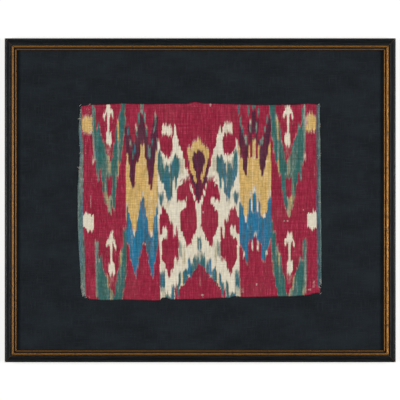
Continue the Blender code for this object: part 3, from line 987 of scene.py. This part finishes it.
# Where each repeat stands: the place of its middle high up and low down, which way it faces, its width,
# and how far it is moved down the cloth.
Stand = namedtuple("Stand", "high low side width drop")
FORKS = [
    Stand(-143.4, -140, 1, 1.0, 0),
    Stand(137.4, 138.5, -1, 1.08, 0),
    Stand(-139, -137.4, 1, 1.0, 208),
    Stand(139.6, 140.4, -1, 1.06, 208),
]
ARROWS = [
    Stand(-143.6, -143.2, 1, 1.0, 0),
    Stand(137.4, 137.4, -1, 1.0, 0),
    Stand(-138.9, -138.7, 1, 1.0, 203),
    Stand(139.6, 139.6, -1, 1.0, 199.5),
]
MIDDLE = [Stand(-4.5, -2, -1, 1.0, 0), Stand(-4.5, -2, 1, 1.0, 0)]
DROP_STAND = [Stand(-3.6, -2.6, 1, 1.0, 0)]
WHOLE = [Stand(0, 0, 1, 1.0, 0)]
LEAN_HIGH, LEAN_LOW = 110, -27

# Threads are dyed in bundles. Each bundle slips a little along the warp, and each thread a little more.
# Stepped sides keep BUNDLE_HOLD of their slant within a bundle. Strays come and go at STRAY_PACE, in radians
# a millimetre.
BUNDLE_WIDTHS = (2.4, 3.5)
BUNDLE_SLIP = 1.5
THREAD_SLIP = 1.9
BUNDLE_HOLD = 0.3
STRAY_PACE = (0.02, 0.07)
DYE_SEED = 7
THREAD_SEED = 21

# How a bundle's dye strays: which dye, towards which, and how far at most.
STRAYS = [
    ("green", "blue", 0.3), ("green", "cream", 0.2), ("green", "yellow", 0.14), ("blue", "green", 0.4),
    ("blue", "plum", 0.3), ("blue", "cream", 0.22), ("plum", "red", 0.34), ("yellow", "cream", 0.3),
    ("yellow", "red", 0.12), ("cream", "yellow", 0.16), ("cream", "green", 0.06),
]

# Where the face is rubbed to pale specks: the place, half its width and height, and how strongly.
RUBBED = [
    (-10, 147, 13, 5, 0.5), (-175, 141, 6, 7, 0.55), (-181, -142, 4, 8, 0.62), (-171, -2, 1.4, 14, 0.75),
    (-179, 80, 1.6, 20, 0.6), (16, 149, 2, 3, 0.9), (3.5, -148, 2.6, 1.6, 1.0), (4.5, -18.5, 1.4, 2, 1.1),
    (88, -131.5, 1.4, 2, 1.2), (131.5, -32.3, 1.3, 1.3, 1.3), (136.5, -32.3, 1.3, 1.3, 1.3),
    (161, -15, 1.2, 1.2, 1.0), (171, -139.5, 3.4, 2, 0.8), (177.5, -131, 3, 8, 0.7),
    (178.5, 46, 1.5, 16, 0.6), (-188, 62, 2.4, 30, 0.5), (-187.4, 126, 2, 18, 0.55),
    (-190, 0, 1.6, 26, 0.45), (187.2, 40, 1.2, 90, 0.55), (66, -141, 2.5, 5, 0.7),
]


def rubbed_share(x, y):
    worn = np.zeros(len(x))
    for at_x, at_y, half_width, half_height, most in RUBBED:
        away = np.maximum(np.abs(x - at_x) / half_width, np.abs(y - at_y) / half_height)
        worn = np.maximum(worn, most * smooth(1.5 - away))
    return worn


class DyedWarp:
    """How much of each dye lies at each point of the cloth, built up form over form."""

    def __init__(self, x, y, column, columns):
        chance = np.random.default_rng(DYE_SEED)
        edges = [-CLOTH_REACH]
        while edges[-1] < CLOTH_REACH:
            edges.append(edges[-1] + chance.uniform(*BUNDLE_WIDTHS))
        edges = np.array(edges)
        bundle = np.searchsorted(edges, x) - 1
        middle = (edges[bundle] + edges[bundle + 1]) / 2
        self.x = x
        self.stepped = middle + (x - middle) * BUNDLE_HOLD
        self.y = y + chance.normal(0, BUNDLE_SLIP, len(edges))[bundle]
        self.y += chance.normal(0, THREAD_SLIP, columns)[column]
        self.amount = {dye: np.zeros(len(x)) for dye in DYES}
        self.bundle = bundle
        self.phase = chance.uniform(0, 2 * math.pi, (len(STRAYS), len(edges)))
        self.pace = chance.uniform(*STRAY_PACE, len(edges))

    def print_forms(self, forms, stands):
        for stand in stands:
            y = self.y + stand.drop
            middle = stand.high + (stand.low - stand.high) * (LEAN_HIGH - y) / (LEAN_HIGH - LEAN_LOW)
            for form in forms:
                self.print_form(form, stand, y, middle)

    def print_form(self, form, stand, y, middle):
        spare = form.tip + PALE_REACH
        near = np.flatnonzero((y > form.heights[0] - spare) & (y < form.heights[-1] + spare))
        x = (self.stepped if form.slanted else self.x)[near]
        u = stand.side * (x - middle[near]) / stand.width
        v = y[near]
        if form.pale_rim:
            rim = PALE_SHARE * np.maximum(form.cover(u, v + PALE_REACH), form.cover(u, v - PALE_REACH))
            yellow = self.amount["yellow"][near]
            self.amount["cream"][near] += rim * (1 - self.taken(near) + yellow)
            self.amount["yellow"][near] -= rim * yellow
        cover = form.cover(u, v)
        for dye, amount in self.amount.items():
            amount[near] += (form.recipe.get(dye, 0) - amount[near]) * cover

    def taken(self, near):
        return np.minimum(sum(amount[near] for amount in self.amount.values()), 1)

    def stray(self):
        """Shifts each bundle's dyes a little towards others, now more and now less along its length."""
        for (dye, other, most), phase in zip(STRAYS, self.phase):
            wave = np.sin(phase[self.bundle] + self.y * self.pace[self.bundle])
            moved = self.amount[dye] * most * smooth(wave)
            self.amount[dye] -= moved
            if other in self.amount:
                self.amount[other] += moved

    def layers(self):
        """The share of each dye over the ones before it, in the order in which the material lays them."""
        left = np.ones(len(self.x))
        shares = {}
        for dye in reversed(DYES):
            shares[dye] = np.clip(self.amount[dye] / np.maximum(left, 1e-3), 0, 1)
            left = left - self.amount[dye]
        return shares


def edge_reach(places, along):
    return np.interp(along, [p[0] for p in places], [p[1] for p in places])


def cloth_lift(x, y, to_side, to_end):
    """Height of the cloth's face over its underside, in mm: cockled, with thicker hems and selvedges."""
    cockle = np.sin(2 * np.pi * x / COCKLE_ACROSS + 1.3) * np.sin(2 * np.pi * y / COCKLE_UP)
    flat = FLAT_HEIGHT + COCKLE_HEIGHT * (1 + cockle)
    hem = flat + (HEM_HEIGHT - flat) * np.clip(1 - to_end / HEM_DEPTH, 0, 1)
    selvedge = flat + (SELVEDGE_HEIGHT - flat) * np.clip(1 - to_side / SELVEDGE_WIDTH, 0, 1)
    ripple = 0.05 * np.sin(x * 0.41 + 0.7 * np.sin(y * 0.09)) + 0.04 * np.sin(y * 0.53 + np.sin(x * 0.07))
    rolled = np.sqrt(1 - np.clip(1 - np.minimum(to_side, to_end) / EDGE_ROLL, 0, 1) ** 2)
    return EDGE_HEIGHT + (np.maximum(np.maximum(flat, hem), selvedge) + ripple - EDGE_HEIGHT) * rolled


def close_underside(piece, floor):
    """Drops the open edge of the cloth to the mount and closes the flat underside."""
    select_only(piece)
    bpy.ops.object.mode_set(mode="EDIT")
    bpy.ops.mesh.select_mode(type="EDGE")
    bpy.ops.mesh.select_all(action="DESELECT")
    bpy.ops.mesh.select_non_manifold()
    bpy.ops.mesh.extrude_region_move(TRANSFORM_OT_translate={"value": (0, 0, -0.1 * MM)})
    bpy.ops.object.mode_set(mode="OBJECT")
    co = coordinates(piece.data)
    rim = np.empty(len(piece.data.vertices), bool)
    piece.data.vertices.foreach_get("select", rim)
    co[rim, 2] = floor
    set_coordinates(piece.data, co)
    bpy.ops.object.mode_set(mode="EDIT")
    bpy.ops.mesh.edge_face_add()
    bpy.ops.mesh.select_all(action="SELECT")
    bpy.ops.mesh.normals_make_consistent(inside=False)
    bpy.ops.object.mode_set(mode="OBJECT")


def make_ikat_cloth():
    """The cloth's grid, fitted between its four uneven edges, with its dyes stored at its points."""
    piece = flat_grid("ikat_fragment", CLOTH_COLUMNS, CLOTH_ROWS)
    co = coordinates(piece.data)
    across, up = co[:, 0] + 0.5, co[:, 1] + 0.5
    nominal_x, nominal_y = (across - 0.5) * CLOTH_WIDTH, (up - 0.5) * CLOTH_HEIGHT
    left, right = edge_reach(LEFT_EDGE, nominal_y), edge_reach(RIGHT_EDGE, nominal_y)
    bottom, top = edge_reach(BOTTOM_EDGE, nominal_x), edge_reach(TOP_EDGE, nominal_x)
    x = left + (right - left) * across
    y = bottom + (top - bottom) * up
    to_side = np.minimum(across, 1 - across) * CLOTH_WIDTH
    to_end = np.minimum(up, 1 - up) * CLOTH_HEIGHT
    lift = cloth_lift(x, y, to_side, to_end)
    set_coordinates(piece.data, np.stack([x * MM, y * MM, IKAT_LOW.z + lift * MM], axis=1))
    warp = DyedWarp(x, y, np.rint(across * CLOTH_COLUMNS).astype(int), CLOTH_COLUMNS + 1)
    warp.print_forms(FORK, FORKS)
    warp.print_forms(UPPER_VEIN, FORKS[:2])
    warp.print_forms(LOWER_VEIN, FORKS[2:])
    warp.print_forms(ARROW, ARROWS)
    warp.print_forms(LEFT_COLUMN + RIGHT_COLUMN + EDGE_FORMS, WHOLE)
    warp.print_forms(MIDDLE_HALF, MIDDLE)
    warp.print_forms(DROP, DROP_STAND)
    warp.print_forms(SIDE_STRIPS, WHOLE)
    warp.stray()
    for dye, share in warp.layers().items():
        set_attribute(piece.data, f"dye_{dye}", "FLOAT", share)
    set_attribute(piece.data, "rubbed", "FLOAT", rubbed_share(x, y))
    close_underside(piece, IKAT_LOW.z)
    bpy.ops.object.shade_smooth_by_angle(angle=math.radians(50))
    return piece


def warp_dyed_cloth(settings):
    """Silk and cotton woven from warp dyed beforehand: matt, streaked and feathered along the warp.

    Warp and weft are drawn a little coarser than real ones, so that they show.
    """
    material, add = new_material("warp_dyed_cloth")
    place = add("TexCoord", output="Object")
    threads = grain(add, place, (settings.warp, 9 * MM, 1), detail=2)
    streaks = grain(add, place, (2.3 * MM, 30 * MM, 1), roughness=0.75)
    picks = grain(add, place, (9 * MM, 2.2 * MM, 1), roughness=0.7)
    courses = grain(add, place, (90 * MM, 1.5 * MM, 1), detail=2, roughness=0.7)
    specks = grain(add, place, (1.9 * MM, 1.9 * MM, 1), detail=2)
    clouds = grain(add, place, (40 * MM, 55 * MM, 1), detail=2)
    # The red ground has faded in streaks.
    course_fade = add("MapRange", (courses, 0.35, 0.7, 0.25, 1.0), **EASED)
    streak_fade = add("MapRange", (streaks, 0.46, 0.72, 0, 0.42), **EASED)
    faded = add("Math", (streak_fade, course_fade), operation="MULTIPLY")
    colour = add("Mix", {0: faded, 6: settings.red, 7: linear("#bb4c68")}, **COLOURS)
    # Each dye lies over the ones before it, with an edge as ragged as the threads.
    for dye in DYES:
        share = add("Attribute", attribute_name=f"dye_{dye}", output="Fac")
        ragged = add("Math", (threads, 0.9, share), operation="MULTIPLY_ADD")
        colour = wash(add, colour, getattr(settings, dye), ragged, 0.51, 1.39)
    # Streaks up the warp, and picks and courses across it, are lighter and darker, less so in the cream.
    tone = 1.0
    for pattern, darkest, lightest in ((streaks, 0.74, 1.22), (picks, 0.83, 1.15), (courses, 0.85, 1.14)):
        shade = add("MapRange", (pattern, 0.3, 0.7, darkest, lightest), **EASED)
        tone = add("Math", (tone, shade), operation="MULTIPLY")
    toned = add("HueSaturation", {"Color": colour, "Value": tone})
    cream = add("Math", (share, 0.55), operation="MULTIPLY")
    toned = add("Mix", {0: cream, 6: toned, 7: colour}, **COLOURS)
    worn = wash(add, toned, linear("#b9a596"), clouds, 0.45, 0.75, 0.04)
    # Rubbed places are bare in specks.
    rubbed = add("Attribute", attribute_name="rubbed", output="Fac")
    speckled = add("Math", (rubbed, specks), operation="ADD")
    bare = add("MapRange", (speckled, 1.0, 1.45, 0, 0.62), **EASED)
    within = add("MapRange", (rubbed, 0.05, 0.3), **EASED)
    bare = add("Math", (bare, within), operation="MULTIPLY")
    turns = add("SeparateXYZ", [place]).node.outputs["Y"]
    turns = add("Math", (turns, 2 * math.pi / settings.weft), operation="MULTIPLY")
    ribs = add("Math", [turns], operation="SINE")
    relief = add("Math", (ribs, 0.22, threads), operation="MULTIPLY_ADD")
    return surfaced(material, {
        "Base Color": add("Mix", {0: bare, 6: worn, 7: linear("#d0b5ac")}, **COLOURS),
        "Roughness": 0.75,
        "Specular IOR Level": 0.15,
        "Normal": add("Bump", {"Height": relief, "Distance": 0.12 * MM}),
    })


def spun_thread(name, colour):
    """Loose spun cotton or silk thread: matt, with a faint twist of light and dark."""
    material, add = new_material(name)
    place = add("TexCoord", output="Object")
    twist = grain(add, place, (0.5 * MM, 0.5 * MM, 0.5 * MM), detail=2)
    shadow = [part * 0.55 for part in colour]
    return surfaced(material, {
        "Base Color": wash(add, colour, shadow, twist, 0.35, 0.7),
        "Roughness": 0.85,
    })


def thread_mesh(name, routes, radius, material):
    """Many loose threads as one mesh of thin tubes. Each route is a list of points in mm."""
    curve = bpy.data.curves.new(name, "CURVE")
    curve.dimensions = "3D"
    curve.bevel_depth = radius * MM
    curve.bevel_resolution = 1
    curve.use_fill_caps = True
    for route in routes:
        spline = curve.splines.new("POLY")
        spline.points.add(len(route) - 1)
        for point, (x, y, z) in zip(spline.points, route):
            point.co = (x * MM, y * MM, z * MM, 1)
    piece = bpy.data.objects.new(name, curve)
    bpy.context.collection.objects.link(piece)
    select_only(piece)
    bpy.ops.object.convert(target="MESH")
    piece = bpy.context.object
    bpy.ops.object.mode_set(mode="EDIT")
    bpy.ops.mesh.select_all(action="SELECT")
    bpy.ops.mesh.remove_doubles(threshold=0.001 * MM)
    bpy.ops.mesh.normals_make_consistent(inside=False)
    bpy.ops.object.mode_set(mode="OBJECT")
    bpy.ops.object.shade_smooth_by_angle(angle=math.radians(60))
    piece.data.materials.append(material)
    return piece


# Threads on the cloth, in mm: the height of its face, where the selvedge loops and the hem stitches come, the
# radii of the threads, and how far from the edge the frayed ends begin.
CLOTH_FACE = 16.1
LOOP_HEIGHTS = np.arange(-144, 146, 3.7)
STITCH_PLACES = np.arange(-176, 182, 7.4)
LOOP_RADIUS = 0.22
STITCH_RADIUS = 0.2
END_RADIUS = 0.25
EDGE_SPARE = 0.4

# Loose ends: where each starts and ends on the face, in mm.
LOOSE_ENDS = [
    ((-191.6, 127), (-186.6, 126)), ((-192, 52), (-188.4, 51.4)), ((184.6, -3.2), (188.6, -3.8)),
    ((187.4, -123), (189.6, -130)), ((2.8, -147.6), (4.2, -151.6)), ((131.4, -31.6), (131.8, -33.2)),
    ((-174, 148.4), (-170.6, 150.6)), ((186.8, 150.4), (183.6, 148.8)), ((189.8, -144.2), (186.6, -146.6)),
    ((-186.4, 149.4), (-188.6, 146.8)), ((56, -149.4), (59.6, -150.6)),
]

# Frayed places, each full of short ends: its middle, its width and height, and how many ends.
FRAYS = [
    (-187.6, 127, 4, 2.5, 8), (-188.6, 51.6, 4, 3, 9), (-188.4, 43, 3, 8, 8), (-187, 70, 2, 12, 8),
    (-186.6, 85, 2.5, 7, 6), (-188, 112, 2.5, 7, 6), (-186.6, 138, 2.5, 6, 6), (-182, -144, 5, 9, 18),
    (-176, -152, 8, 3, 8), (-185.4, -134, 2.5, 8, 8), (185.4, 148, 3, 3, 6), (186.4, 117, 1.6, 6, 7),
    (184.6, 66, 2.6, 9, 9), (187, 70, 1.2, 8, 5), (186, -3.4, 3.4, 1.2, 4), (187.6, -127, 2, 9, 16),
    (186.6, -135, 2.6, 3.4, 8), (184.8, 16, 2.4, 7, 6),
]


def selvedge_loops(chance):
    """Weft loops that stand out along both selvedges, like a fine overcast edge."""
    routes = []
    for edge, side in ((LEFT_EDGE, -1), (RIGHT_EDGE, 1)):
        for y in LOOP_HEIGHTS:
            out = edge_reach(edge, y) + side * chance.uniform(-0.3, 0.25)
            reach = chance.uniform(1.8, 3.0)
            lean = chance.uniform(-0.5, 0.5)
            routes.append([
                (out - side * reach, y - 0.7, CLOTH_FACE + 0.1),
                (out - side * 0.5, y - 0.4, CLOTH_FACE - 0.1),
                (out, y + lean * 0.5, CLOTH_FACE - 0.75),
                (out - side * 0.5, y + 0.5 + lean, CLOTH_FACE - 0.1),
                (out - side * reach, y + 0.9 + lean, CLOTH_FACE + 0.1),
            ])
    return routes


def hem_stitches(chance):
    """Small running stitches that hold the top and bottom edges to the mount."""
    routes = []
    for edge, side in ((TOP_EDGE, 1), (BOTTOM_EDGE, -1)):
        for x in STITCH_PLACES:
            out = edge_reach(edge, x)
            inner = out - side * chance.uniform(1.6, 3.0)
            lean = chance.uniform(-0.6, 0.6)
            routes.append([
                (x, inner, CLOTH_FACE + 0.15),
                (x + lean * 0.5, (inner + out) / 2, CLOTH_FACE + 0.35),
                (x + lean, out + side * 0.2, CLOTH_FACE - 0.7),
                (x + lean, out + side * 0.5, CLOTH_FACE - 1.4),
            ])
    return routes


def loose_ends(chance):
    routes = []
    for (x0, y0), (x1, y1) in LOOSE_ENDS:
        bend = chance.uniform(-0.7, 0.7)
        steps = np.linspace(0, 1, 7)
        arch = np.sin(np.pi * steps)
        routes.append([
            (x0 + (x1 - x0) * t + bend * a * 0.6, y0 + (y1 - y0) * t + bend * a, CLOTH_FACE + 0.3 + 0.3 * a)
            for t, a in zip(steps, arch)
        ])
    return routes


def frayed_ends(chance):
    """Short broken ends that lie every way in the frayed places."""
    routes = []
    for x, y, width, height, count in FRAYS:
        for _ in range(count):
            start_x = x + chance.uniform(-0.5, 0.5) * width
            start_y = y + chance.uniform(-0.5, 0.5) * height
            left, right = edge_reach(LEFT_EDGE, start_y), edge_reach(RIGHT_EDGE, start_y)
            start_x = np.clip(start_x, left + EDGE_SPARE, right - EDGE_SPARE)
            bottom, top = edge_reach(BOTTOM_EDGE, start_x), edge_reach(TOP_EDGE, start_x)
            start_y = np.clip(start_y, bottom + EDGE_SPARE, top - EDGE_SPARE)
            way, reach = chance.uniform(0, 2 * math.pi), chance.uniform(0.7, 1.9)
            curl = chance.uniform(-1.1, 1.1)
            routes.append([
                (
                    start_x + reach * t * math.cos(way + curl * t),
                    start_y + reach * t * math.sin(way + curl * t),
                    CLOTH_FACE + 0.1 + 0.7 * t * (1 - t),
                )
                for t in (0, 0.35, 0.7, 1)
            ])
    return routes


class FRAMEDIKAT_OT_ikat(Operator):
    """Make the ikat cloth with its loops, stitches and loose ends"""

    bl_idname = "framed_ikat.ikat"
    bl_label = "Ikat cloth"

    def execute(self, context):
        settings = context.scene.framed_ikat.ikat
        chance = np.random.default_rng(THREAD_SEED)
        cloth = make_ikat_cloth()
        cloth.data.materials.append(warp_dyed_cloth(settings))
        pale = spun_thread("bleached_thread", settings.thread)
        red = spun_thread("red_stitching_thread", settings.red)
        edging = spun_thread("selvedge_weft_thread", settings.edging)
        loops = thread_mesh("selvedge_loops", selvedge_loops(chance), LOOP_RADIUS, edging)
        stitches = thread_mesh("hem_stitches", hem_stitches(chance), STITCH_RADIUS, red)
        ends = thread_mesh("loose_ends", loose_ends(chance) + frayed_ends(chance), END_RADIUS, pale)
        threads = [loops, stitches, ends]
        for piece in [cloth, *threads]:
            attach(piece, BODY)
        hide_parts("ikat_cloth")
        return {"FINISHED"}


def white_studio_paper(settings):
    """Plain white studio paper, lit so evenly that it reads as one tone."""
    material, add = new_material("white_studio_paper")
    place = add("TexCoord", output="Object")
    cloudy = grain(add, place, (0.3, 0.3, 0.3))
    return surfaced(material, {
        "Base Color": add("Mix", {0: cloudy, 6: settings.floor, 7: linear("#bfbebc")}, **COLOURS),
        "Roughness": 0.9,
        "Emission Color": linear("#ffffff"),
        "Emission Strength": settings.glow,
    })


# The stage, in metres, with the lights' heights in degrees. The floor lies just under the frame's back.
FLOOR_SIZE = 40
FLOOR_HEIGHT = -0.3 * MM
LIGHT_DISTANCE = 2.2
LIGHT_SIZE = 0.75
SIDE_RISE = 47
TOP_RISE = 60
LEFT_SHARE, RIGHT_SHARE = 0.94, 1.06
CAMERA_PLACE = (-0.3 * MM, 0.4 * MM)
SEEN_HEIGHT = 18.5 * MM


def add_light(name, azimuth, rise, power):
    """A soft square light that points at the middle of the picture. Azimuth 0 is at the picture's right."""
    light = bpy.data.lights.new(name, "AREA")
    light.shape = "SQUARE"
    light.size = LIGHT_SIZE
    light.energy = power
    holder = bpy.data.objects.new(name, light)
    bpy.context.collection.objects.link(holder)
    turn, tilt = math.radians(azimuth), math.radians(rise)
    level = LIGHT_DISTANCE * math.cos(tilt)
    holder.location = (level * math.cos(turn), level * math.sin(turn), LIGHT_DISTANCE * math.sin(tilt))
    holder.rotation_euler = (math.pi / 2 - tilt, 0, turn + math.pi / 2)


class FRAMEDIKAT_OT_stage(Operator):
    """Make the floor, the lights and the camera"""

    bl_idname = "framed_ikat.stage"
    bl_label = "Stage"

    def execute(self, context):
        settings = context.scene.framed_ikat.stage
        deselect()
        bpy.ops.mesh.primitive_plane_add(size=FLOOR_SIZE, location=(0, 0, FLOOR_HEIGHT))
        floor = context.object
        floor.name = "studio_floor"
        floor.data.materials.append(white_studio_paper(settings))
        add_light("light_left", 180, SIDE_RISE, settings.side_light * LEFT_SHARE)
        add_light("light_right", 0, SIDE_RISE, settings.side_light * RIGHT_SHARE)
        add_light("light_top", 90, TOP_RISE, settings.top_light)
        world = bpy.data.worlds.new("studio")
        world.use_nodes = True
        background = world.node_tree.nodes["Background"]
        background.inputs["Color"].default_value = (*linear("#e8e8e8"), 1.0)
        background.inputs["Strength"].default_value = settings.sky_light
        context.scene.world = world
        camera = bpy.data.cameras.new("camera")
        camera.lens = settings.lens
        camera.clip_start = 0.05
        holder = bpy.data.objects.new("camera", camera)
        context.collection.objects.link(holder)
        distance = settings.seen_width * settings.lens / camera.sensor_width
        holder.location = (*CAMERA_PLACE, distance + SEEN_HEIGHT)
        context.scene.camera = holder
        context.scene.view_settings.view_transform = "Standard"
        return {"FINISHED"}


class FRAMEDIKAT_PT_panel(Panel):
    bl_idname = "FRAMEDIKAT_PT_panel"
    bl_label = "Framed Ikat Fragment"
    bl_space_type = "VIEW_3D"
    bl_region_type = "UI"
    bl_category = "Framed Ikat"

    def draw(self, context):
        for operator in OPERATORS:
            self.layout.operator(operator.bl_idname)


OPERATORS = [FRAMEDIKAT_OT_stage, FRAMEDIKAT_OT_mouldings, FRAMEDIKAT_OT_mount, FRAMEDIKAT_OT_ikat]
CLASSES = [
    MouldingSettings,
    MountSettings,
    IkatSettings,
    StageSettings,
    FramedIkatSettings,
    *OPERATORS,
    FRAMEDIKAT_PT_panel,
]


def register():
    for cls in CLASSES:
        bpy.utils.register_class(cls)
    bpy.types.Scene.framed_ikat = PointerProperty(type=FramedIkatSettings)


def unregister():
    del bpy.types.Scene.framed_ikat
    for cls in reversed(CLASSES):
        bpy.utils.unregister_class(cls)


def main():
    register()
    bpy.ops.framed_ikat.stage()
    bpy.ops.framed_ikat.mouldings()
    bpy.ops.framed_ikat.mount()
    bpy.ops.framed_ikat.ikat()


if __name__ == "__main__":
    main()
